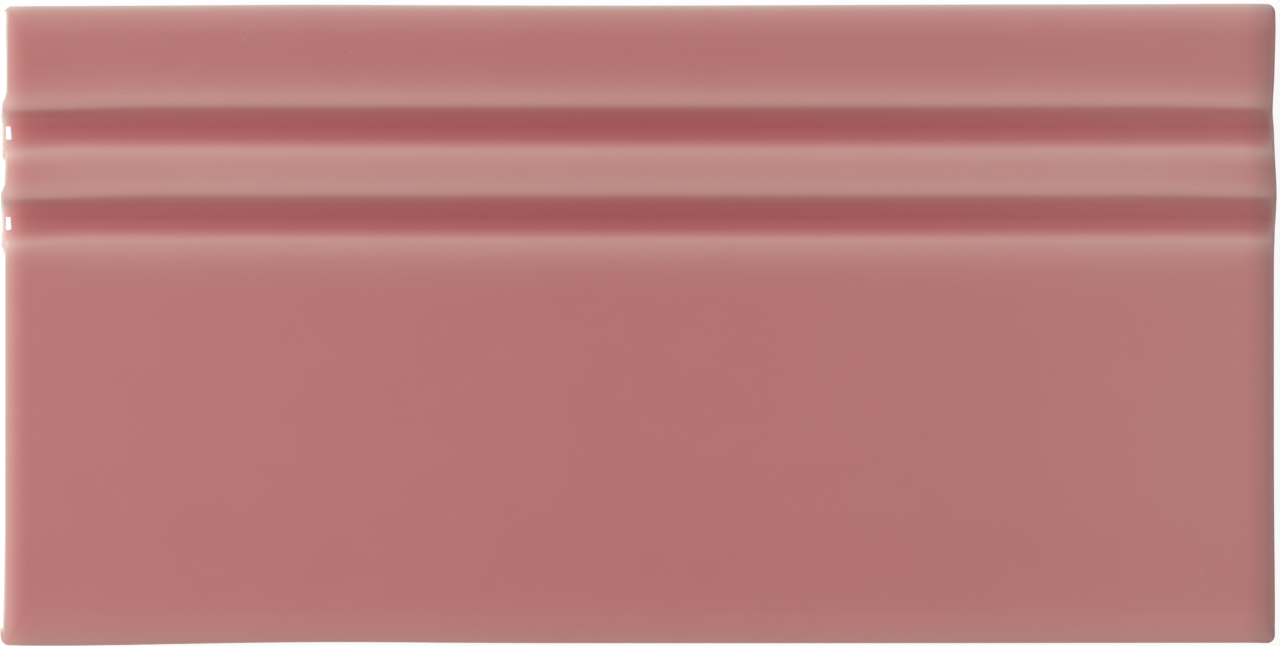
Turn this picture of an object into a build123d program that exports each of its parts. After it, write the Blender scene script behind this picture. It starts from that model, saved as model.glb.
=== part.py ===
from build123d import *
import os
from math import cos, radians, sin

# Ceramic skirting tile, one pressed and glazed piece. Millimetres.
# +X runs along the tile, +Y up the wall it is laid on, +Z out of that wall.
# The back lies on Z = 0 and the origin is the middle of the back.

# Overall
length = 198.0
height = 99.0
thickness = 10.0            # of the plain field below the moulding
corner_radius = 1.25        # corners seen from the front

# Moulding: two coves with a crowned band between them
top_to_first_cove = 18.65   # from the top edge to the middle of the upper cove
cove_pitch = 14.0
cove_width = 7.0            # between its lips, before they are rounded
cove_depth = 1.2
band_crown = 0.3            # rise of the band between the coves
lip_radius = 4.4            # rounded lips on both sides of each cove

# Rolled edge: the face sinks gently, then turns down into the side
roll_width = 4.7
roll_slope = 26.0           # degrees, where the gentle part ends
edge_radius = 1.9
edge_slope = 52.0           # degrees, where the roll meets the upright side

# Back: shallow keying recesses inside a plain rim
recess_depth = 0.8
recess_width = 8.0
recess_pitch = 13.0
recess_rows = 6
recess_columns = 2
middle_rib = 8.0            # between the two columns of recesses
rim_width = 9.0             # plain rim at the two short ends
recess_corner = 1.5
back_bevel = 0.6            # small bevel round the back

# Stock that the blank has beyond the finished outline
spare = 4.0


def roll_points(face_level):
    """Points of one rolled edge as (distance in from the edge, level)."""
    start, end = radians(roll_slope), radians(edge_slope)
    turn_in = edge_radius * (sin(end) - sin(start))
    gentle_radius = (roll_width - turn_in) / sin(start)
    half = start / 2
    middle = (roll_width - gentle_radius * sin(half), face_level - gentle_radius * (1 - cos(half)))
    turn_level = face_level - gentle_radius * (1 - cos(start))
    mean = (start + end) / 2
    turn_middle = (edge_radius * (sin(end) - sin(mean)), turn_level - edge_radius * (cos(start) - cos(mean)))
    edge_level = turn_level - edge_radius * (cos(start) - cos(end))
    beyond = (-spare * cos(end), edge_level - spare * sin(end))
    return {
        "face": (roll_width, face_level),
        "middle": middle,
        "turn": (turn_in, turn_level),
        "turn_middle": turn_middle,
        "edge": (0.0, edge_level),
        "beyond": beyond,
    }


def rolled_edge(points, place):
    """Gentle arc, tight arc and a straight run past the side, from the face outwards."""
    face, middle, turn = place(points["face"]), place(points["middle"]), place(points["turn"])
    turn_middle, edge, beyond = place(points["turn_middle"]), place(points["edge"]), place(points["beyond"])
    return [
        Edge.make_three_point_arc(face, middle, turn),
        Edge.make_three_point_arc(turn, turn_middle, edge),
        Edge.make_line(edge, beyond),
    ]


def section_face():
    """Upright section of the blank in the YZ plane, with the moulding in its top line."""
    top, bottom = height / 2, -height / 2
    roll = roll_points(thickness)

    def at_top(point):
        return Vector(0, top - point[0], point[1])

    def at_bottom(point):
        return Vector(0, bottom + point[0], point[1])

    upper = top - top_to_first_cove
    lower = upper - cove_pitch
    half = cove_width / 2
    lips = [Vector(0, y, thickness) for y in (upper + half, upper - half, lower + half, lower - half)]
    floors = [Vector(0, y, thickness - cove_depth) for y in (upper, lower)]
    crown = Vector(0, (upper + lower) / 2, thickness + band_crown)

    face_line = [
        Edge.make_line(at_top(roll["face"]), lips[0]),
        Edge.make_three_point_arc(lips[0], floors[0], lips[1]),
        Edge.make_three_point_arc(lips[1], crown, lips[2]),
        Edge.make_three_point_arc(lips[2], floors[1], lips[3]),
        Edge.make_line(lips[3], at_bottom(roll["face"])),
    ]
    top_end, bottom_end = at_top(roll["beyond"]), at_bottom(roll["beyond"])
    under = [
        Edge.make_line(top_end, Vector(0, top_end.Y, -spare)),
        Edge.make_line(Vector(0, top_end.Y, -spare), Vector(0, bottom_end.Y, -spare)),
        Edge.make_line(Vector(0, bottom_end.Y, -spare), bottom_end),
    ]
    outline = rolled_edge(roll, at_top) + face_line + rolled_edge(roll, at_bottom) + under
    face = Face(Wire(outline))
    sharp = [v for v in face.vertices() if min((v.center() - lip).length for lip in lips) < 1e-6]
    return face.fillet_2d(lip_radius, sharp)


def end_path():
    """Line that the section follows along the tile, dipping at both ends."""
    end = length / 2
    roll = roll_points(0.0)

    def at_left(point):
        return Vector(point[0] - end, 0, point[1])

    def at_right(point):
        return Vector(end - point[0], 0, point[1])

    flat = Edge.make_line(at_left(roll["face"]), at_right(roll["face"]))
    return Wire(rolled_edge(roll, at_left) + [flat] + rolled_edge(roll, at_right))


def outline_block():
    """Upright block with the tile's outline, bevelled round the back."""
    plan = RectangleRounded(length, height, corner_radius)
    block = extrude(plan, thickness + band_crown + spare)
    return chamfer(block.faces().sort_by(Axis.Z)[0].edges(), back_bevel)


def back_recesses():
    """Rounded shallow pockets in rows along the tile."""
    recess_length = (length - 2 * rim_width - middle_rib * (recess_columns - 1)) / recess_columns
    places = GridLocations(recess_length + middle_rib, recess_pitch, recess_columns, recess_rows)
    pocket = extrude(RectangleRounded(recess_length, recess_width, recess_corner), recess_depth)
    return [place * pocket for place in places]


def skirting_tile():
    path = end_path()
    section = section_face().moved(Location(path.position_at(0)))
    blank = sweep(section, path=path, normal=(1, 0, 0))
    tile = blank & outline_block()
    for pocket in back_recesses():
        tile -= pocket
    return tile


tile = skirting_tile()
os.makedirs("parts", exist_ok=True)
export_step(tile, "parts/skirting_tile.step")
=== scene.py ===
import math

import bpy
import numpy as np
from mathutils import Matrix, Vector, noise


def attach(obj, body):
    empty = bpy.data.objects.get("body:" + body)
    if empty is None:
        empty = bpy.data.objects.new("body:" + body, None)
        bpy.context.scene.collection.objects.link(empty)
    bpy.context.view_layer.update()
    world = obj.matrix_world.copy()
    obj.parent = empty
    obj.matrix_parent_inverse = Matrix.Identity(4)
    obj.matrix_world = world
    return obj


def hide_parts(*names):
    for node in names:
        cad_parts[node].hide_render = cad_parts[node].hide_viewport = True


# A glazed ceramic skirting tile, lying face up on a pale floor.
# +X runs along the tile, +Y to its moulded top edge, +Z out of its face.
# Lengths are metres, so one in millimetres is a number times MM. Where a group of values is
# in plain millimetres instead, the comment above it says so.

MM = 0.001

# The photograph's frame, and the scale and place of the tile in it
PHOTO_WIDTH = 1280
PIXELS_PER_MM = 6.446
TILE_LEFT_OF_MIDDLE = 0.38 * MM
TILE_BELOW_MIDDLE = 0.163 * MM
CAMERA_HEIGHT = 750 * MM
SENSOR_WIDTH = 36.0

# Face of the tile, as pressed
LENGTH = 198.0 * MM
HEIGHT = 99.0 * MM
THICKNESS = 10.0 * MM
CORNER_RADIUS = 1.25 * MM
TOP_TO_COVE = 18.65 * MM
COVE_PITCH = 14.0 * MM
COVE_WIDTH = 7.0 * MM
COVE_DEPTH = 1.2 * MM
BAND_CROWN = 0.3 * MM
LIP_RADIUS = 4.4 * MM
ROLL_WIDTH = 4.7 * MM
ROLL_SLOPE = math.radians(26.0)
EDGE_RADIUS = 1.9 * MM
EDGE_SLOPE = math.radians(52.0)

# Back of the tile
RECESS_DEPTH = 0.8 * MM
RECESS_WIDTH = 8.0 * MM
RECESS_PITCH = 13.0 * MM
RECESS_ROWS = 6
RECESS_COLUMNS = 2
MIDDLE_RIB = 8.0 * MM
RIM_WIDTH = 9.0 * MM
RECESS_CORNER = 1.5 * MM
RECESS_DRAFT = 0.5 * MM
BACK_BEVEL = 0.6 * MM

# Mesh: steps on each arc, distances between lines on plain stretches, places of the lines at a
# recess's wall, inwards from it, and the least distance between two lines
ROLL_STEPS = 12
LIP_STEPS = 9
COVE_STEPS = 20
CROWN_STEPS = 4
PLAIN_STEP_ALONG = 3.0 * MM
PLAIN_STEP_ACROSS = 1.5 * MM
RECESS_LINES = (-0.25 * MM, 0.25 * MM, 0.6 * MM, 1.0 * MM, 1.5 * MM)
CLOSEST_LINES = 0.05 * MM

# Ways in which the fired tile leaves the straight outline, in plain millimetres. A wave is its
# height, its middle and its half width, down the tile from the top edge or along it from the left
# end. The ripple is its height, the place of one crest and its length.
RIGHT_SHIFT = -0.09
RIGHT_WAVES = (
    (0.3, 1, 9),
    (-0.17, 15, 2.6),
    (0.18, 19.5, 2.5),
    (0.36, 29, 5.5),
    (0.24, 32.4, 3.2),
    (0.17, 95, 14),
    (0.12, 98.5, 1.5),
)
LEFT_WAVES = ((0.14, 16, 2.5), (0.14, 29.5, 3), (0.1, 97, 3))
TOP_SHIFT = 0.06
TOP_RISE = 0.22
TOP_RIPPLE = (0.06, 46, 112)
TOP_WAVES = ((0.08, 47, 14), (0.17, 198, 17))
BOTTOM_SHIFT = 0.13
BOTTOM_WAVES = ((0.38, 7, 22), (-0.18, 52, 20), (-0.07, 192, 35), (0.1, 197, 1.5))
FIRED_REACH = 5
# How far the coves' lips sink towards each end, and the length over which they do
UPPER_LIP_DROOP_LEFT = (0.7, 27)
UPPER_LIP_DROOP_RIGHT = (0.36, 22)
LOWER_LIP_DROOP_LEFT = (0.6, 13)
LOWER_LIP_DROOP_RIGHT = (0.25, 6)
LIP_DROOP_HALF_WIDTH = 2.6

# The coves' open ends sink: how far at the left and at the right, over what length from the end,
# and how far to each side of the cove's middle, in half widths of a cove
COVE_END_DROP = (0.45 * MM, 0.15 * MM)
COVE_END_REACH = 5.0 * MM
COVE_END_SPREAD = 1.15

# Slow undulation of the face: height and width of its waves, and seed of the noise
FACE_UNDULATION = (0.02 * MM, 16.0 * MM, 1.7)
NOISE_DEPTH_PER_SEED = 0.7

# Coat of glaze, where 1 is its thickness on the open field.
# Lips, above and below each cove: the share that is lost, how far from the lip's middle, the power
# of its fall, and the lip's distance from the cove's middle. The change at the ends is that of the
# share above, that of the share below, and its reach. The narrowing is its amount and its reach.
# Both are painted light: near the ends the lower lips come out paler and sharper, a painted
# highlight, and the upper lips a little darker.
LIP_THINNING_ABOVE = 0.365
LIP_THINNING_BELOW = 0.4
LIP_THINNING_REACH = 3.4 * MM
LIP_THINNING_POWER = 1.6
LIP_FROM_COVE = 3.85 * MM
LIP_PAINTED_HIGHLIGHT_AT_ENDS = (-0.03, 0.06, 10.0 * MM)
LIP_PAINTED_HIGHLIGHT_NARROWER_AT_ENDS = (1.5 * MM, 8.0 * MM)
# Edges: the share of the coat that is lost, how far in from the edge, and the power of its fall.
# The losses are partly glaze run off the rolls and partly painted light: spread wider on the lit left
# and top edges, which come out paler, and kept narrower on the shaded right and bottom ones, which
# come out darker.
LEFT_EDGE_THINNING_AND_PAINTED_LIGHT = ((0.52, 2.4 * MM, 2),)
TOP_EDGE_THINNING_AND_PAINTED_LIGHT = ((0.36, 0.5 * MM, 1), (0.55, 2.2 * MM, 1))
BOTTOM_EDGE_THINNING_AND_PAINTED_LIGHT = ((0.2, 0.5 * MM, 1), (0.45, 2.2 * MM, 1))
RIGHT_EDGE_THINNING_AND_PAINTED_LIGHT = ((0.55, 0.4 * MM, 1), (0.09, 2.2 * MM, 1))
# White strip along the left arris with no coat: a painted highlight in the bare body's colour. A pair is
# the distance at which something starts, and the one at which it is complete.
PAINTED_HIGHLIGHT_STRIP = (0.68 * MM, 1.07 * MM)
PAINTED_HIGHLIGHT_NARROWER_AT_COVES = 0.7 * MM
PAINTED_HIGHLIGHT_FROM_COVE = (3.9 * MM, 5.6 * MM)
PAINTED_HIGHLIGHT_WIDER_ABOVE = 0.25 * MM
PAINTED_HIGHLIGHT_WIDER_UP_FROM_COVE = (-8.0 * MM, 22.0 * MM)
PAINTED_HIGHLIGHT_NARROWER_BELOW = 0.25 * MM
PAINTED_HIGHLIGHT_NARROWER_DOWN_FROM_MIDDLE = (28.0 * MM, 46.0 * MM)
PAINTED_HIGHLIGHT_NARROWER_AT_TOP = 0.08 * MM
PAINTED_HIGHLIGHT_NARROWER_DOWN_FROM_TOP = (2.0 * MM, 8.0 * MM)
PAINTED_HIGHLIGHT_FROM_BOTTOM = (1.6 * MM, 2.8 * MM)
PAINTED_HIGHLIGHT_FROM_TOP = (0.35 * MM, 1.0 * MM)
BARE_CORNER = (1.1 * MM, 1.5 * MM)
# Rough strip along the left arris, and how much wider it is at each lower lip, over what height
DRY_ARRIS = (0.45 * MM, 0.85 * MM)
DRY_WIDER_AT_LIPS = (0.45 * MM, 1.2 * MM)
# Pool in each cove: the coat's thickness at its middle, the fall from there at the half width, and
# what is less below the middle and how far below. An edge is its distance from the middle and its
# softness. The loss at an end is its share and its reach.
POOL_AT_MIDDLE = 1.62
POOL_FALL = 0.28
POOL_HALF_WIDTH = 2.3 * MM
POOL_LESS_BELOW = (0.055, 1.0 * MM)
POOL_UPPER_EDGE = (3.45 * MM, 1.75 * MM)
POOL_LOWER_EDGE = (4.4 * MM, 2.8 * MM)
POOL_LOSS_AT_ENDS = 0.1
POOL_LOSS_LEFT = (1.0, 2.1 * MM)
POOL_LOSS_RIGHT = (1.0, 0.75 * MM)
# Unevenness of the coat: share, size of its patches and seed of the noise
COAT_NOISE = ((0.012, 9.0 * MM, 3.1), (0.008, 3.0 * MM, 8.4))

# Sides. The glaze ends at a wavy line below the face. Each wave is its height, how many there are
# in a metre, and the seed of the noise.
GLAZE_DOWN_SIDE = 4.3 * MM
GLAZE_LINE_WAVES = ((1.0 * MM, 60.0, 5.5), (0.25 * MM, 400.0, 2.5))
GLAZE_PROUD = 0.12 * MM
# The glaze's rounded end, as height over that line and share of the step back to the bare body
GLAZE_END = ((0.35 * MM, 0.0), (0.12 * MM, 0.25), (0.0, 0.75), (-0.04 * MM, 1.0))
# Rings of the mesh, as shares of the way from the arris to that end, and from there to the bevel
GLAZED_RINGS = (0.35, 0.7)
BARE_RINGS = (0.3, 0.6, 0.85)
# Coat on the sides: the share of the arris's coat that it starts with, and the coat further down
COAT_KEPT_AT_RIM = 0.9
SIDE_COAT = 0.75
RINGS_TO_SIDE_COAT = 3

# Pinholes in the glaze, from the middle of the tile, in plain millimetres
PINHOLES = ((-86.9, 32.0), (-61.1, 44.1), (-44.5, 42.3), (27.0, 32.5), (46.4, 17.6), (87.3, -38.2))
PINHOLE_RADIUS = 0.24 * MM
PINHOLE_LOSS = 0.3

# Colours and surfaces. The coat's stops are the thicknesses at which its colour is worked out, and
# the mottle is the most by which its thickness varies.
BODY_COLOR = (0.637, 0.583, 0.497)
# Colour at no coat: the bare body at the upper left corner, and a painted highlight along the left arris.
BARE_BODY_AND_PAINTED_HIGHLIGHT_COLOR = (0.8, 0.765, 0.735)
GLAZE_ABSORPTION = (0.43, 1.50, 1.385)
COAT_STOPS = (0.0, 0.12, 0.25, 0.4, 0.6, 0.8, 1.0, 1.3, 1.7)
GLOSSY_ROUGHNESS = 0.07
DRY_ROUGHNESS = 0.7
GLAZE_IOR = 1.58
MOTTLE = 0.012
MOTTLE_SCALE = 260.0
MOTTLE_DETAIL = 3.0
SKIN_SCALE = 320.0
SKIN_DETAIL = 2.0
SKIN_STRENGTH = 0.12
SKIN_DEPTH = 0.02 * MM
BISCUIT_DARK = (0.48, 0.42, 0.35, 1)
BISCUIT_LIGHT = (0.66, 0.60, 0.52, 1)
BISCUIT_ROUGHNESS = 0.9
GRAIN_SCALE = 900.0
GRAIN_DETAIL = 6.0
GRAIN_HARSHNESS = 0.7
GRAIN_STRENGTH = 0.5
GRAIN_DEPTH = 0.08 * MM

# Floor
FLOOR_REACH = 3.0
FLOOR_DROP = 0.1 * MM
FLOOR_COLOR = (0.8, 0.8, 0.79, 1)
FLOOR_SHOWN_COLOR = (1.0, 0.998, 0.99, 1)
FLOOR_GLOW = 0.93

# Lamps and fill
KEY_RADIANCE = 16.3
KEY_ELEVATION = math.radians(40.5)
KEY_TURN = math.radians(14)
KEY_DISTANCE = 3.0
KEY_SIZE = (0.9, 2.2)
STRIP_RADIANCE = 14.0
STRIP_ELEVATION = math.radians(22)
STRIP_TURN = math.radians(16)
STRIP_DISTANCE = 3.0
STRIP_SIZE = (0.58, 1.55)
STRIP_ROLL = math.radians(10)
FILL = 0.355
# Surroundings in reflections: their brightness by the direction's part along X, and along Y
SKY_STRENGTH = 1.5
SKY_ALONG = (
    (-1.0, 0.67),
    (-0.3, 0.7),
    (-0.12, 0.8),
    (0.0, 0.6),
    (0.07, 0.73),
    (0.12, 0.95),
    (0.3, 0.95),
    (0.65, 1.05),
    (0.85, 0.88),
    (1.0, 1.15),
)
SKY_ACROSS = (
    (-1.0, 0.3),
    (-0.85, 0.4),
    (-0.65, 0.95),
    (-0.4, 1.0),
    (-0.12, 1.0),
    (-0.055, 0.88),
    (-0.035, 1.0),
    (0.03, 1.0),
    (0.055, 0.82),
    (0.3, 1.0),
    (0.9, 1.0),
    (1.0, 0.9),
)


def arc(centre, radius, start, end, count):
    """Points of an arc from one angle to another, without the last."""
    return [
        (centre[0] + radius * math.cos(a), centre[1] + radius * math.sin(a))
        for a in np.linspace(start, end, count, endpoint=False)
    ]


def roll_stations():
    """The rolled edge as (distance in from the edge, drop below the face), from the edge inwards."""
    turn_in = EDGE_RADIUS * (math.sin(EDGE_SLOPE) - math.sin(ROLL_SLOPE))
    gentle_radius = (ROLL_WIDTH - turn_in) / math.sin(ROLL_SLOPE)
    gentle_drop = gentle_radius * (1 - math.cos(ROLL_SLOPE))
    stations = []
    for a in np.linspace(EDGE_SLOPE, ROLL_SLOPE, ROLL_STEPS, endpoint=False):
        drop = gentle_drop + EDGE_RADIUS * (math.cos(ROLL_SLOPE) - math.cos(a))
        stations.append((EDGE_RADIUS * (math.sin(EDGE_SLOPE) - math.sin(a)), drop))
    for a in np.linspace(ROLL_SLOPE, 0, ROLL_STEPS):
        distance = turn_in + gentle_radius * (math.sin(ROLL_SLOPE) - math.sin(a))
        stations.append((distance, gentle_radius * (1 - math.cos(a))))
    return np.array(stations)


def circle_through(half_width, rise):
    """Radius of the circle whose half chord and height are given."""
    return (half_width ** 2 + rise ** 2) / (2 * rise)


def upper_crossing(c0, r0, c1, r1):
    """The higher of the two points at given distances from two centres."""
    dx, dy = c1[0] - c0[0], c1[1] - c0[1]
    apart = math.hypot(dx, dy)
    along = (r0 ** 2 - r1 ** 2 + apart ** 2) / (2 * apart)
    off = math.sqrt(r0 ** 2 - along ** 2)
    foot = (c0[0] + along * dx / apart, c0[1] + along * dy / apart)
    points = [(foot[0] + s * off * dy / apart, foot[1] - s * off * dx / apart) for s in (1, -1)]
    return max(points, key=lambda p: p[1])


def angle_from(centre, point):
    """Direction of a point as seen from a centre."""
    return math.atan2(point[1] - centre[1], point[0] - centre[0])


# Centres, as (y, z), and radii of the section's arcs
COVE_RADIUS = circle_through(COVE_WIDTH / 2, COVE_DEPTH)
CROWN_RADIUS = circle_through((COVE_PITCH - COVE_WIDTH) / 2, BAND_CROWN)
UPPER_COVE = (HEIGHT / 2 - TOP_TO_COVE, THICKNESS - COVE_DEPTH + COVE_RADIUS)
LOWER_COVE = (UPPER_COVE[0] - COVE_PITCH, UPPER_COVE[1])
BAND_MIDDLE = (UPPER_COVE[0] - COVE_PITCH / 2, THICKNESS + BAND_CROWN - CROWN_RADIUS)
COVE_PLACES = (UPPER_COVE[0], LOWER_COVE[0])


def half_moulding():
    """Outer lip, cove, inner lip and half the crowned band, as (y, z), for the upper cove."""
    reach = COVE_RADIUS + LIP_RADIUS
    outer_level = THICKNESS - LIP_RADIUS
    outer_off = math.sqrt(reach ** 2 - (UPPER_COVE[1] - outer_level) ** 2)
    outer = (UPPER_COVE[0] + outer_off, outer_level)
    inner = upper_crossing(UPPER_COVE, reach, BAND_MIDDLE, CROWN_RADIUS - LIP_RADIUS)
    cove_start, cove_end = angle_from(UPPER_COVE, outer), angle_from(UPPER_COVE, inner)
    crown_turn = angle_from(BAND_MIDDLE, inner)
    up = math.pi / 2
    points = arc(outer, LIP_RADIUS, up, angle_from(outer, UPPER_COVE), LIP_STEPS)
    points += arc(UPPER_COVE, COVE_RADIUS, cove_start, cove_end, COVE_STEPS)
    points += arc(inner, LIP_RADIUS, angle_from(inner, UPPER_COVE), crown_turn, LIP_STEPS)
    points += arc(BAND_MIDDLE, CROWN_RADIUS, crown_turn, up, CROWN_STEPS)
    return np.array(points)


def section():
    """The face from the bottom edge to the top edge, as rows of (y, z)."""
    roll = roll_stations()
    top = np.column_stack([HEIGHT / 2 - roll[:, 0], THICKNESS - roll[:, 1]])
    bottom = np.column_stack([-HEIGHT / 2 + roll[:, 0], THICKNESS - roll[:, 1]])
    upper = half_moulding()
    lower = upper * (-1, 1) + (2 * BAND_MIDDLE[0], 0)
    flats = []
    for start, end in ((bottom[-1, 0], lower[0, 0]), (upper[0, 0], top[-1, 0])):
        ys = np.linspace(start, end, round((end - start) / PLAIN_STEP_ACROSS) + 1)[1:-1]
        flats.append(np.column_stack([ys, np.full(len(ys), THICKNESS)]))
    middle = np.array([(BAND_MIDDLE[0], THICKNESS + BAND_CROWN)])
    return np.vstack([bottom, flats[0], lower, middle, upper[::-1], flats[1], top[::-1]])


def merged(*groups):
    """Sorted lines of all groups, with those very close to another left out."""
    values = np.sort(np.concatenate(groups))
    keep = [values[0]]
    for value in values[1:-1]:
        if value - keep[-1] > CLOSEST_LINES and values[-1] - value > CLOSEST_LINES:
            keep.append(value)
    return np.array(keep + [values[-1]])


def recess_size():
    """Size of a recess along the tile and across it."""
    free = LENGTH - 2 * RIM_WIDTH - MIDDLE_RIB * (RECESS_COLUMNS - 1)
    return free / RECESS_COLUMNS, RECESS_WIDTH


def recess_centres():
    """Middles of the columns of recesses, and of their rows."""
    width = recess_size()[0]
    xs = (np.arange(RECESS_COLUMNS) - (RECESS_COLUMNS - 1) / 2) * (width + MIDDLE_RIB)
    ys = (np.arange(RECESS_ROWS) - (RECESS_ROWS - 1) / 2) * RECESS_PITCH
    return xs, ys


def recess_lines(centres, width):
    """Lines of the mesh that follow the walls and corners of the recesses."""
    offsets = np.array(RECESS_LINES)
    lines = [np.concatenate([c - width / 2 + offsets, c + width / 2 - offsets]) for c in centres]
    return np.concatenate(lines)


def smooth(t):
    """Smooth step from 0 to 1, level at both ends."""
    t = np.clip(t, 0, 1)
    return t * t * (3 - 2 * t)


def smooth_between(value, limits):
    """Rises from 0 to 1 as the value goes from the first limit to the second."""
    return smooth((value - limits[0]) / (limits[1] - limits[0]))


def bump(x, centre, width):
    """Smooth bump of height 1."""
    return np.exp(-((x - centre) / width) ** 2)


def field_noise(x, y, scale, seed):
    """Smooth noise, about -1 to 1, at each point."""
    depth = seed * NOISE_DEPTH_PER_SEED
    points = zip(x.ravel(), y.ravel())
    values = [noise.noise(Vector((a / scale + seed, b / scale, depth))) for a, b in points]
    return np.array(values).reshape(x.shape)


def back_level(x, y):
    """Height of the back: a bevel at the rim and shallow recesses."""
    rim = np.minimum(LENGTH / 2 - np.abs(x), HEIGHT / 2 - np.abs(y))
    level = np.maximum(BACK_BEVEL - rim, 0)
    width, height = recess_size()
    xs, ys = recess_centres()
    for cx in xs:
        for cy in ys:
            qx = np.abs(x - cx) - width / 2 + RECESS_CORNER
            qy = np.abs(y - cy) - height / 2 + RECESS_CORNER
            outside = np.hypot(np.maximum(qx, 0), np.maximum(qy, 0))
            distance = outside + np.minimum(np.maximum(qx, qy), 0) - RECESS_CORNER
            level = level + RECESS_DEPTH * smooth(0.5 - distance / RECESS_DRAFT)
    return level


def rounded_plan(x, y):
    """Moves the points of the four square corners onto rounded ones."""
    ax = np.maximum(np.abs(x) - (LENGTH / 2 - CORNER_RADIUS), 0)
    ay = np.maximum(np.abs(y) - (HEIGHT / 2 - CORNER_RADIUS), 0)
    far, apart = np.maximum(ax, ay), np.hypot(ax, ay)
    scale = far / np.maximum(apart, np.finfo(float).tiny)
    return x - np.sign(x) * ax * (1 - scale), y - np.sign(y) * ay * (1 - scale)


def cove_end_drop(x, y):
    """How much lower the open ends of the coves are than a straight cove with the plain edge roll."""
    across = np.zeros_like(x)
    for cove in COVE_PLACES:
        across = across + smooth(COVE_END_SPREAD - np.abs(y - cove) / (COVE_WIDTH / 2))
    most = np.where(x < 0, COVE_END_DROP[0], COVE_END_DROP[1])
    near_end = np.maximum(1 - (LENGTH / 2 - np.abs(x)) / COVE_END_REACH, 0)
    return most * across * near_end ** 2


def waves(place, shapes):
    """Sum of smooth waves, each given as height, middle and half width."""
    return sum(height * bump(place, middle, width) for height, middle, width in shapes)


def droop(from_end, shape):
    """Sinks towards an end of the tile, from nothing at the given distance from it."""
    most, reach = shape
    return most * smooth(1 - from_end / reach)


def fired_shape(x, y):
    """Points moved as firing leaves the outline and the lips, fading inwards from each edge."""
    from_left, from_right = (LENGTH / 2 + x) / MM, (LENGTH / 2 - x) / MM
    from_bottom, from_top = (HEIGHT / 2 + y) / MM, (HEIGHT / 2 - y) / MM
    right = RIGHT_SHIFT + waves(from_top, RIGHT_WAVES)
    left = waves(from_top, LEFT_WAVES)
    ripple, ripple_middle, ripple_length = TOP_RIPPLE
    top = TOP_SHIFT + TOP_RISE * (from_left * MM / LENGTH - 0.5) + waves(from_left, TOP_WAVES)
    top = top + ripple * np.cos((from_left - ripple_middle) / ripple_length * 2 * math.pi)
    bottom = BOTTOM_SHIFT + waves(from_left, BOTTOM_WAVES)
    dx = right * np.exp(-from_right / FIRED_REACH) - left * np.exp(-from_left / FIRED_REACH)
    dy = top * np.exp(-from_top / FIRED_REACH) - bottom * np.exp(-from_bottom / FIRED_REACH)
    upper_droop = droop(from_left, UPPER_LIP_DROOP_LEFT) + droop(from_right, UPPER_LIP_DROOP_RIGHT)
    lower_droop = droop(from_left, LOWER_LIP_DROOP_LEFT) + droop(from_right, LOWER_LIP_DROOP_RIGHT)
    for cove in COVE_PLACES:
        upper_lip = bump(y, cove + COVE_WIDTH / 2, LIP_DROOP_HALF_WIDTH * MM)
        lower_lip = bump(y, cove - COVE_WIDTH / 2, LIP_DROOP_HALF_WIDTH * MM)
        dy = dy - upper_droop * upper_lip - lower_droop * lower_lip
    return x + dx * MM, y + dy * MM


def edge_loss(distance, shares):
    """Share of the coat that is lost near an edge of the tile, partly run-off glaze and partly painted
    light.
    """
    inside = np.maximum(distance, 0)
    return sum(share * np.exp(-(inside / reach) ** power) for share, reach, power in shares)


def lip_loss(x, y):
    """Share of the coat that has run off the coves' lips; near the ends it carries painted light, paler
    and sharper on the lower lips and a little darker on the upper ones.
    """
    from_end = LENGTH / 2 - np.abs(x)
    # Near the ends the lower lips are paler and sharper and the upper ones a little darker: painted
    # light.
    more_above, more_below, change_reach = LIP_PAINTED_HIGHLIGHT_AT_ENDS
    above = LIP_THINNING_ABOVE + more_above * np.exp(-from_end / change_reach)
    below = LIP_THINNING_BELOW + more_below * np.exp(-from_end / change_reach)
    narrower, narrow_reach = LIP_PAINTED_HIGHLIGHT_NARROWER_AT_ENDS
    reach = LIP_THINNING_REACH - narrower * np.exp(-from_end / narrow_reach)
    loss = np.zeros_like(x)
    for cove in COVE_PLACES:
        for side, thinning in ((1, above), (-1, below)):
            from_lip = np.abs(y - cove - side * LIP_FROM_COVE) / reach
            loss = loss + thinning * np.exp(-from_lip ** LIP_THINNING_POWER)
    return loss


def cove_fill(x, y):
    """Share of the cove's pooled coat at each point, and the thickness of that coat."""
    share, pooled = np.zeros_like(x), np.zeros_like(x)
    from_left, from_right = LENGTH / 2 + x, LENGTH / 2 - x
    end_loss = POOL_LOSS_LEFT[0] * np.exp(-from_left / POOL_LOSS_LEFT[1])
    end_loss = end_loss + POOL_LOSS_RIGHT[0] * np.exp(-from_right / POOL_LOSS_RIGHT[1])
    for cove in COVE_PLACES:
        up = y - cove
        inside = smooth((POOL_UPPER_EDGE[0] - up) / POOL_UPPER_EDGE[1])
        inside = inside * smooth((POOL_LOWER_EDGE[0] + up) / POOL_LOWER_EDGE[1])
        depth = POOL_AT_MIDDLE - POOL_FALL * (up / POOL_HALF_WIDTH) ** 2
        depth = depth - POOL_LESS_BELOW[0] * smooth(-up / POOL_LESS_BELOW[1])
        depth = (depth - POOL_LOSS_AT_ENDS * (x / (LENGTH / 2)) ** 2) * (1 - end_loss)
        pooled = np.where(inside > share, depth, pooled)
        share = np.maximum(share, inside)
    return share, pooled


def bare_corner(x, y):
    """Share of the upper left corner that the glaze has run off, cut at 45 degrees."""
    return 1 - smooth_between((LENGTH / 2 + x) + (HEIGHT / 2 - y), BARE_CORNER)


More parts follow.
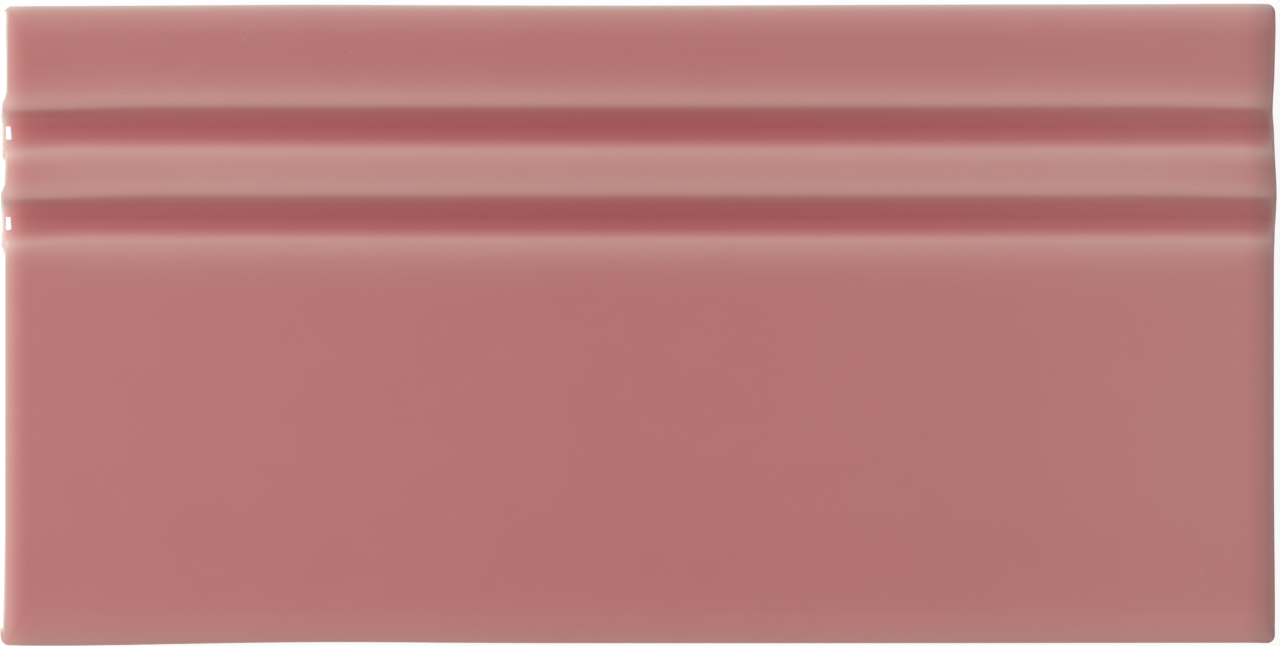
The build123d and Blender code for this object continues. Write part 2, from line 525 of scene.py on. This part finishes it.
def painted_highlight_strip_and_bare_corner(x, y):
    """Share of the left arris with no coat: a strip, narrower beside the coves, that is a painted
    highlight, and the bare corner.
    """
    from_top, from_bottom = HEIGHT / 2 - y, HEIGHT / 2 + y
    above = smooth_between(y - LOWER_COVE[0], PAINTED_HIGHLIGHT_WIDER_UP_FROM_COVE)
    below = smooth_between(-y, PAINTED_HIGHLIGHT_NARROWER_DOWN_FROM_MIDDLE)
    near_top = 1 - smooth_between(from_top, PAINTED_HIGHLIGHT_NARROWER_DOWN_FROM_TOP)
    inwards = LENGTH / 2 + x - PAINTED_HIGHLIGHT_WIDER_ABOVE * above + PAINTED_HIGHLIGHT_NARROWER_BELOW * below
    inwards = inwards + PAINTED_HIGHLIGHT_NARROWER_AT_TOP * near_top
    for cove in COVE_PLACES:
        beside = 1 - smooth_between(np.abs(y - cove), PAINTED_HIGHLIGHT_FROM_COVE)
        inwards = inwards + PAINTED_HIGHLIGHT_NARROWER_AT_COVES * beside
    between_ends = smooth_between(from_bottom, PAINTED_HIGHLIGHT_FROM_BOTTOM) * smooth_between(from_top, PAINTED_HIGHLIGHT_FROM_TOP)
    # The strip is a painted highlight: the lit left arris gets no coat, so it shows the pale bare colour.
    strip = (1 - smooth_between(inwards, PAINTED_HIGHLIGHT_STRIP)) * between_ends
    return np.maximum(strip, bare_corner(x, y))


def coat_with_painted_light(x, y):
    """Thickness of the coat: thin on lips and edges, thick in the coves, none on the left arris; it also
    holds painted light on the edges and lips and a painted highlight on that arris.
    """
    # Each side's loss is partly painted light: paler on the lit left and top edges, darker on the shaded
    # right and bottom ones.
    losses = [
        edge_loss(HEIGHT / 2 - y, TOP_EDGE_THINNING_AND_PAINTED_LIGHT),
        edge_loss(HEIGHT / 2 + y, BOTTOM_EDGE_THINNING_AND_PAINTED_LIGHT),
        edge_loss(LENGTH / 2 + x, LEFT_EDGE_THINNING_AND_PAINTED_LIGHT),
        edge_loss(LENGTH / 2 - x, RIGHT_EDGE_THINNING_AND_PAINTED_LIGHT),
    ]
    coat_and_painted_light = (1 - lip_loss(x, y)) * (1 - np.maximum.reduce(losses)) * (1 - painted_highlight_strip_and_bare_corner(x, y))
    share, pooled = cove_fill(x, y)
    coat_and_painted_light = coat_and_painted_light + (pooled - coat_and_painted_light) * share
    return coat_and_painted_light + sum(part * field_noise(x, y, size, seed) for part, size, seed in COAT_NOISE)


def dryness(x, y):
    """How dry the surface looks: the left arris outside the coves, and the bare corner."""
    inwards = LENGTH / 2 + x
    wider, half_width = DRY_WIDER_AT_LIPS
    for cove in COVE_PLACES:
        inwards = inwards - wider * bump(y, cove - LIP_FROM_COVE, half_width)
    outside_coves = 1 - cove_fill(x, y)[0]
    strip = (1 - smooth_between(inwards, DRY_ARRIS)) * outside_coves
    strip = strip * smooth_between(HEIGHT / 2 - y, PAINTED_HIGHLIGHT_FROM_TOP)
    return np.maximum(strip, bare_corner(x, y))


def mesh_lines(profile):
    """Places of the mesh's lines along the tile and across it."""
    roll = roll_stations()[:, 0]
    bevel = np.array([BACK_BEVEL])
    ends = np.concatenate([roll, bevel])
    plain = np.arange(-LENGTH / 2 + ROLL_WIDTH, LENGTH / 2 - ROLL_WIDTH, PLAIN_STEP_ALONG)
    centres_x, centres_y = recess_centres()
    width_x, width_y = recess_size()
    xs = merged(ends - LENGTH / 2, LENGTH / 2 - ends, plain, recess_lines(centres_x, width_x))
    edges = (bevel - HEIGHT / 2, HEIGHT / 2 - bevel)
    ys = merged(profile[:, 0], *edges, recess_lines(centres_y, width_y))
    return xs, ys


def face_and_back(x, y, profile):
    """Points of the fired face, and of the back below them, which is smaller by the glaze's coat."""
    roll = roll_stations()
    drop = np.interp(LENGTH / 2 - np.abs(x), roll[:, 0], roll[:, 1])
    height, width, seed = FACE_UNDULATION
    undulation = height * field_noise(x, y, width, seed)
    pressed = np.interp(y, profile[:, 0], profile[:, 1])
    level = pressed - drop - cove_end_drop(x, y) + undulation
    fired_x, fired_y = fired_shape(x, y)
    face = np.column_stack([fired_x.ravel(), fired_y.ravel(), level.ravel()])
    back_x = fired_x * (1 - 2 * GLAZE_PROUD / LENGTH)
    back_y = fired_y * (1 - 2 * GLAZE_PROUD / HEIGHT)
    back = np.column_stack([back_x.ravel(), back_y.ravel(), back_level(x, y).ravel()])
    return face, back


def boundary(nx, ny):
    """Indices of the outline's points in a grid of nx by ny, anticlockwise."""
    index = np.arange(nx * ny).reshape(ny, nx)
    return np.concatenate([index[0, :-1], index[:-1, -1], index[-1, :0:-1], index[:0:-1, 0]])


def outward(points):
    """Unit vectors that point out of a closed anticlockwise outline."""
    along = np.roll(points, -1, axis=0) - np.roll(points, 1, axis=0)
    along /= np.linalg.norm(along, axis=1)[:, None]
    return np.column_stack([along[:, 1], -along[:, 0]])


def glaze_line(outline):
    """Level at which the glaze ends on the sides, at each point of the outline."""
    level = np.full(len(outline), THICKNESS - GLAZE_DOWN_SIDE)
    for height, frequency, seed in GLAZE_LINE_WAVES:
        places = [Vector((x * frequency, y * frequency, seed)) for x, y in outline]
        level = level + height * np.array([noise.noise(place) for place in places])
    return level


def side_rings(rim):
    """Rings of points down the sides, first the glazed ones and then the bare ones."""
    outline, arris = rim[:, :2], rim[:, 2]
    out = outward(outline)
    line = glaze_line(outline)
    end_start, end_stop = line + GLAZE_END[0][0], line + GLAZE_END[-1][0]
    glazed = [np.column_stack([outline, arris + (end_start - arris) * share]) for share in GLAZED_RINGS]
    for level, depth in GLAZE_END:
        glazed.append(np.column_stack([outline - out * depth * GLAZE_PROUD, line + level]))
    body = outline - out * GLAZE_PROUD
    bare = []
    for share in BARE_RINGS:
        bare.append(np.column_stack([body, end_stop * (1 - share) + BACK_BEVEL * share]))
    return glazed, bare


def grid_faces(nx, ny, start, upward):
    """Faces of a grid whose points begin at the index start, seen from above or from below."""
    index = np.arange(nx * ny).reshape(ny, nx) + start
    a, b, c, d = index[:-1, :-1], index[:-1, 1:], index[1:, 1:], index[1:, :-1]
    corners = (a, b, c, d) if upward else (a, d, c, b)
    return np.stack([q.ravel() for q in corners], axis=1)


def closed_faces(nx, ny, ring_count):
    """Faces of the whole mesh: the tile's face, the sides from ring to ring, and the back."""
    loop = boundary(nx, ny)
    count = len(loop)
    back_start = nx * ny + ring_count * count
    loops = [loop]
    for i in range(ring_count):
        loops.append(nx * ny + i * count + np.arange(count))
    loops.append(back_start + loop)
    sides = []
    for upper, lower in zip(loops, loops[1:]):
        sides.append(np.stack([upper, lower, np.roll(lower, -1), np.roll(upper, -1)], axis=1))
    return np.vstack([grid_faces(nx, ny, 0, True), *sides, grid_faces(nx, ny, back_start, False)])


def side_coats(rim_coat_and_painted_light, ring_count):
    """The coat's thickness on each ring of the sides, which starts from the arris's, painted light
    included, and soon evens out below the arris.
    """
    start = rim_coat_and_painted_light * COAT_KEPT_AT_RIM
    shares = [min(1.0, (i + 1) / RINGS_TO_SIDE_COAT) for i in range(ring_count)]
    return [start + (SIDE_COAT - start) * share for share in shares]


def store(mesh, name, values):
    """Keeps one number for each point of the mesh, for the material to read."""
    attribute = mesh.attributes.new(name, "FLOAT", "POINT")
    attribute.data.foreach_set("value", values.astype(np.float32))


def tile_mesh():
    """Face, back and sides as one closed mesh, with the glaze's thickness at each point and the painted
    light it holds.
    """
    profile = section()
    xs, ys = mesh_lines(profile)
    nx, ny = len(xs), len(ys)
    x, y = rounded_plan(*np.meshgrid(xs, ys))
    face, back = face_and_back(x, y, profile)
    loop = boundary(nx, ny)
    glazed, bare = side_rings(face[loop])
    ring_count = len(glazed) + len(bare)
    vertices = np.vstack([face, *glazed, *bare, back])
    faces = closed_faces(nx, ny, ring_count)

    mesh = bpy.data.meshes.new("skirting_tile_fired")
    mesh.from_pydata(vertices.tolist(), [], faces.tolist())
    coat_and_painted_light = coat_with_painted_light(x, y).ravel()
    no_coat = np.zeros(len(back))
    # The glaze values are the coat's thickness with painted light laid into it.
    store(mesh, "glaze", np.concatenate([coat_and_painted_light, *side_coats(coat_and_painted_light[loop], ring_count), no_coat]))
    not_dry = np.zeros(len(vertices) - len(face))
    store(mesh, "dry", np.concatenate([dryness(x, y).ravel(), not_dry]))

    slots = np.zeros(len(faces), np.int32)
    slots[(nx - 1) * (ny - 1) + len(glazed) * len(loop):] = 1
    mesh.materials.append(glaze_material())
    mesh.materials.append(biscuit_material())
    mesh.polygons.foreach_set("material_index", slots)
    mesh.polygons.foreach_set("use_smooth", np.ones(len(faces), bool))
    mesh.validate()
    mesh.update()
    return mesh


def new_material(name):
    """A material with only its output node."""
    material = bpy.data.materials.new(name)
    material.use_nodes = True
    tree = material.node_tree
    tree.nodes.clear()
    output = tree.nodes.new("ShaderNodeOutputMaterial")
    return material, tree, output


def add(tree, kind, **inputs):
    """A node with some of its sockets set, by name."""
    node = tree.nodes.new(kind)
    for name, value in inputs.items():
        node.inputs[name.replace("_", " ")].default_value = value
    return node


def work_out(tree, kind, operation, first, second):
    """A node that works on two values, a socket and a socket or a constant."""
    node = tree.nodes.new(kind)
    node.operation = operation
    tree.links.new(first, node.inputs[0])
    if isinstance(second, bpy.types.NodeSocket):
        tree.links.new(second, node.inputs[1])
    else:
        node.inputs[1].default_value = second
    return node


def add_ramp(tree, value, stops):
    """Colours that follow a value from 0 to 1 through stops of place and colour."""
    ramp = tree.nodes.new("ShaderNodeValToRGB")
    elements = ramp.color_ramp.elements
    for place, color in stops[1:-1]:
        elements.new(place).color = color
    elements[0].color = stops[0][1]
    elements[-1].color = stops[-1][1]
    tree.links.new(value, ramp.inputs["Fac"])
    return ramp.outputs["Color"]


def glaze_color(thickness):
    """Colour of the body seen through a coat of the given thickness."""
    return tuple(c * math.exp(-k * thickness) for c, k in zip(BODY_COLOR, GLAZE_ABSORPTION)) + (1.0,)


def with_pinholes(tree, place, thickness):
    """The coat's thickness less what is missing in a few pinholes."""
    flat = work_out(tree, "ShaderNodeVectorMath", "MULTIPLY", place, (1, 1, 0)).outputs["Vector"]
    for x, y in PINHOLES:
        apart = work_out(tree, "ShaderNodeVectorMath", "DISTANCE", flat, (x * MM, y * MM, 0))
        hole = add(tree, "ShaderNodeMapRange", From_Max=PINHOLE_RADIUS, To_Min=PINHOLE_LOSS, To_Max=0.0)
        tree.links.new(apart.outputs["Value"], hole.inputs["Value"])
        less = work_out(tree, "ShaderNodeMath", "SUBTRACT", thickness, hole.outputs["Result"])
        thickness = less.outputs["Value"]
    return thickness


def coat_color(tree, place):
    """Colour that follows the coat's thickness, painted light included, with a faint mottle and the
    pinholes.
    """
    link = tree.links.new
    coat_and_painted_light = tree.nodes.new("ShaderNodeAttribute")
    coat_and_painted_light.attribute_name = "glaze"
    mottle = add(tree, "ShaderNodeTexNoise", Scale=MOTTLE_SCALE, Detail=MOTTLE_DETAIL)
    link(place, mottle.inputs["Vector"])
    spread = add(tree, "ShaderNodeMapRange", To_Min=-MOTTLE, To_Max=MOTTLE)
    link(mottle.outputs["Fac"], spread.inputs["Value"])
    total = work_out(tree, "ShaderNodeMath", "ADD", coat_and_painted_light.outputs["Fac"], spread.outputs["Result"])
    thickness = with_pinholes(tree, place, total.outputs["Value"])
    thickest = COAT_STOPS[-1]
    scaled = work_out(tree, "ShaderNodeMath", "DIVIDE", thickness, thickest)
    stops = [(stop / thickest, glaze_color(stop)) for stop in COAT_STOPS]
    # At no coat the ramp gives the bare colour, which on the left arris is a painted highlight.
    stops[0] = (0.0, BARE_BODY_AND_PAINTED_HIGHLIGHT_COLOR + (1.0,))
    return add_ramp(tree, scaled.outputs["Value"], stops)


def add_relief(tree, height, strength, depth, shader):
    """Fine bumps in the surface of a shader."""
    relief = add(tree, "ShaderNodeBump", Strength=strength, Distance=depth)
    tree.links.new(height, relief.inputs["Height"])
    tree.links.new(relief.outputs["Normal"], shader.inputs["Normal"])


def glaze_material():
    """Coloured translucent glaze over a white body: pale where it is thin, deep where it pools, with the
    painted light that the coat holds on its edges, lips and left arris.
    """
    material, tree, output = new_material("dark_rose_glaze")
    link = tree.links.new
    place = tree.nodes.new("ShaderNodeTexCoord").outputs["Object"]
    shader = tree.nodes.new("ShaderNodeBsdfPrincipled")
    shader.inputs["IOR"].default_value = GLAZE_IOR
    link(coat_color(tree, place), shader.inputs["Base Color"])
    dry = tree.nodes.new("ShaderNodeAttribute")
    dry.attribute_name = "dry"
    finish = add(tree, "ShaderNodeMapRange", To_Min=GLOSSY_ROUGHNESS, To_Max=DRY_ROUGHNESS)
    link(dry.outputs["Fac"], finish.inputs["Value"])
    link(finish.outputs["Result"], shader.inputs["Roughness"])
    skin = add(tree, "ShaderNodeTexNoise", Scale=SKIN_SCALE, Detail=SKIN_DETAIL)
    link(place, skin.inputs["Vector"])
    add_relief(tree, skin.outputs["Fac"], SKIN_STRENGTH, SKIN_DEPTH, shader)
    link(shader.outputs["BSDF"], output.inputs["Surface"])
    return material


def biscuit_material():
    """Bare white earthenware: chalky, faintly warm and speckled."""
    material, tree, output = new_material("bare_biscuit")
    link = tree.links.new
    place = tree.nodes.new("ShaderNodeTexCoord").outputs["Object"]
    grain = add(tree, "ShaderNodeTexNoise", Scale=GRAIN_SCALE, Detail=GRAIN_DETAIL)
    grain.inputs["Roughness"].default_value = GRAIN_HARSHNESS
    link(place, grain.inputs["Vector"])
    shader = tree.nodes.new("ShaderNodeBsdfPrincipled")
    shader.inputs["Roughness"].default_value = BISCUIT_ROUGHNESS
    color = add_ramp(tree, grain.outputs["Fac"], ((0.0, BISCUIT_DARK), (1.0, BISCUIT_LIGHT)))
    link(color, shader.inputs["Base Color"])
    add_relief(tree, grain.outputs["Fac"], GRAIN_STRENGTH, GRAIN_DEPTH, shader)
    link(shader.outputs["BSDF"], output.inputs["Surface"])
    return material


def add_tile():
    """The fired tile, in place of the plain one."""
    piece = bpy.data.objects.new("skirting_tile_fired", tile_mesh())
    bpy.context.collection.objects.link(piece)
    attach(piece, "root")
    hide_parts("skirting_tile")


def floor_material():
    """Nearly white to the camera, and matt to all other light, so it keeps a faint shadow."""
    material, tree, output = new_material("pale_floor")
    link = tree.links.new
    matte = add(tree, "ShaderNodeBsdfDiffuse", Color=FLOOR_COLOR)
    bright = add(tree, "ShaderNodeEmission", Color=FLOOR_SHOWN_COLOR)
    rays = tree.nodes.new("ShaderNodeLightPath")
    seen = rays.outputs["Is Camera Ray"]
    share = work_out(tree, "ShaderNodeMath", "MULTIPLY", seen, FLOOR_GLOW)
    mix = tree.nodes.new("ShaderNodeMixShader")
    link(share.outputs["Value"], mix.inputs["Fac"])
    link(matte.outputs["BSDF"], mix.inputs[1])
    link(bright.outputs["Emission"], mix.inputs[2])
    link(mix.outputs["Shader"], output.inputs["Surface"])
    return material


def add_floor():
    """Pale floor just below the tile's back."""
    mesh = bpy.data.meshes.new("floor")
    far = FLOOR_REACH
    corners = [(-far, -far), (far, -far), (far, far), (-far, far)]
    mesh.from_pydata([(x, y, -FLOOR_DROP) for x, y in corners], [], [(0, 1, 2, 3)])
    mesh.materials.append(floor_material())
    floor = bpy.data.objects.new("floor", mesh)
    bpy.context.collection.objects.link(floor)


def ramp_along(tree, value, stops):
    """Grey level that follows a direction's part, from -1 to 1, through a few stops."""
    place = add(tree, "ShaderNodeMapRange", From_Min=-1.0, From_Max=1.0)
    tree.links.new(value, place.inputs["Value"])
    greys = [((position + 1) / 2, (level, level, level, 1)) for position, level in stops]
    return add_ramp(tree, place.outputs["Result"], greys)


def studio_seen_in_gloss(tree):
    """Surroundings in reflections: dimmer overhead and on the left, and dark low down in front."""
    link = tree.links.new
    place = tree.nodes.new("ShaderNodeTexCoord")
    axes = tree.nodes.new("ShaderNodeSeparateXYZ")
    link(place.outputs["Generated"], axes.inputs["Vector"])
    both = tree.nodes.new("ShaderNodeMix")
    both.data_type = "RGBA"
    both.blend_type = "MULTIPLY"
    both.inputs["Factor"].default_value = 1.0
    link(ramp_along(tree, axes.outputs["X"], SKY_ALONG), both.inputs["A"])
    link(ramp_along(tree, axes.outputs["Y"], SKY_ACROSS), both.inputs["B"])
    sky = add(tree, "ShaderNodeBackground", Strength=SKY_STRENGTH)
    link(both.outputs["Result"], sky.inputs["Color"])
    return sky


def add_world():
    """White to the camera, a studio in reflections, and a soft fill for everything else."""
    world = bpy.data.worlds.new("studio")
    bpy.context.scene.world = world
    world.use_nodes = True
    tree = world.node_tree
    tree.nodes.clear()
    link = tree.links.new
    output = tree.nodes.new("ShaderNodeOutputWorld")
    fill = add(tree, "ShaderNodeBackground", Color=(1, 1, 1, 1), Strength=FILL)
    white = add(tree, "ShaderNodeBackground", Color=(1, 1, 1, 1), Strength=1.0)
    sky = studio_seen_in_gloss(tree)
    rays = tree.nodes.new("ShaderNodeLightPath")
    gloss = tree.nodes.new("ShaderNodeMixShader")
    link(rays.outputs["Is Glossy Ray"], gloss.inputs["Fac"])
    link(fill.outputs["Background"], gloss.inputs[1])
    link(sky.outputs["Background"], gloss.inputs[2])
    seen = tree.nodes.new("ShaderNodeMixShader")
    link(rays.outputs["Is Camera Ray"], seen.inputs["Fac"])
    link(gloss.outputs["Shader"], seen.inputs[1])
    link(white.outputs["Background"], seen.inputs[2])
    link(seen.outputs["Shader"], output.inputs["Surface"])


def matrix_from(x_axis, y_axis, z_axis, origin):
    """Placement with the given axes and origin."""
    matrix = Matrix((x_axis, y_axis, z_axis)).transposed().to_4x4()
    matrix.translation = origin
    return matrix


def add_softbox(name, radiance, size, elevation, turn, distance, roll=0.0):
    """Panel lamp beyond the tile's left end, turned towards its top edge, that faces the tile."""
    data = bpy.data.lights.new(name, "AREA")
    data.shape = "RECTANGLE"
    data.size, data.size_y = size
    data.energy = radiance * math.pi * size[0] * size[1]
    light = bpy.data.objects.new(name, data)
    flat = math.cos(elevation)
    away = Vector((-flat * math.cos(turn), flat * math.sin(turn), math.sin(elevation)))
    level = Vector((0, 0, 1)).cross(away).normalized()
    upright = away.cross(level)
    side = level * math.cos(roll) + upright * math.sin(roll)
    rise = upright * math.cos(roll) - level * math.sin(roll)
    light.matrix_world = matrix_from(rise, side, away, away * distance)
    light.visible_camera = False
    bpy.context.collection.objects.link(light)
    return light


def add_lights():
    """A soft key light, and a low strip that only shows in the gloss."""
    key = add_softbox("key", KEY_RADIANCE, KEY_SIZE, KEY_ELEVATION, KEY_TURN, KEY_DISTANCE)
    key.visible_glossy = False
    strip = add_softbox(
        "strip", STRIP_RADIANCE, STRIP_SIZE, STRIP_ELEVATION, STRIP_TURN, STRIP_DISTANCE, STRIP_ROLL
    )
    strip.visible_diffuse = False


def add_camera():
    """Straight above the tile, with the photograph's scale and framing."""
    data = bpy.data.cameras.new("camera")
    seen_width = PHOTO_WIDTH / PIXELS_PER_MM * MM
    data.sensor_width = SENSOR_WIDTH
    data.lens = SENSOR_WIDTH * CAMERA_HEIGHT / seen_width
    camera = bpy.data.objects.new("camera", data)
    camera.location = (TILE_LEFT_OF_MIDDLE, TILE_BELOW_MIDDLE, THICKNESS + CAMERA_HEIGHT)
    bpy.context.collection.objects.link(camera)
    bpy.context.scene.camera = camera


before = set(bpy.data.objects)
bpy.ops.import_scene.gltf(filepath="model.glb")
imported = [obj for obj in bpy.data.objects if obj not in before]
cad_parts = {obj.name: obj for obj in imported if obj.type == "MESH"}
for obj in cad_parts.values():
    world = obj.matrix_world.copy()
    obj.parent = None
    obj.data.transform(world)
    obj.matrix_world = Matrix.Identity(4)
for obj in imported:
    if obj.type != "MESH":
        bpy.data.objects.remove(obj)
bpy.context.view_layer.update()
bpy.context.scene.view_settings.view_transform = "Standard"
add_tile()
add_floor()
add_world()
add_lights()
add_camera()
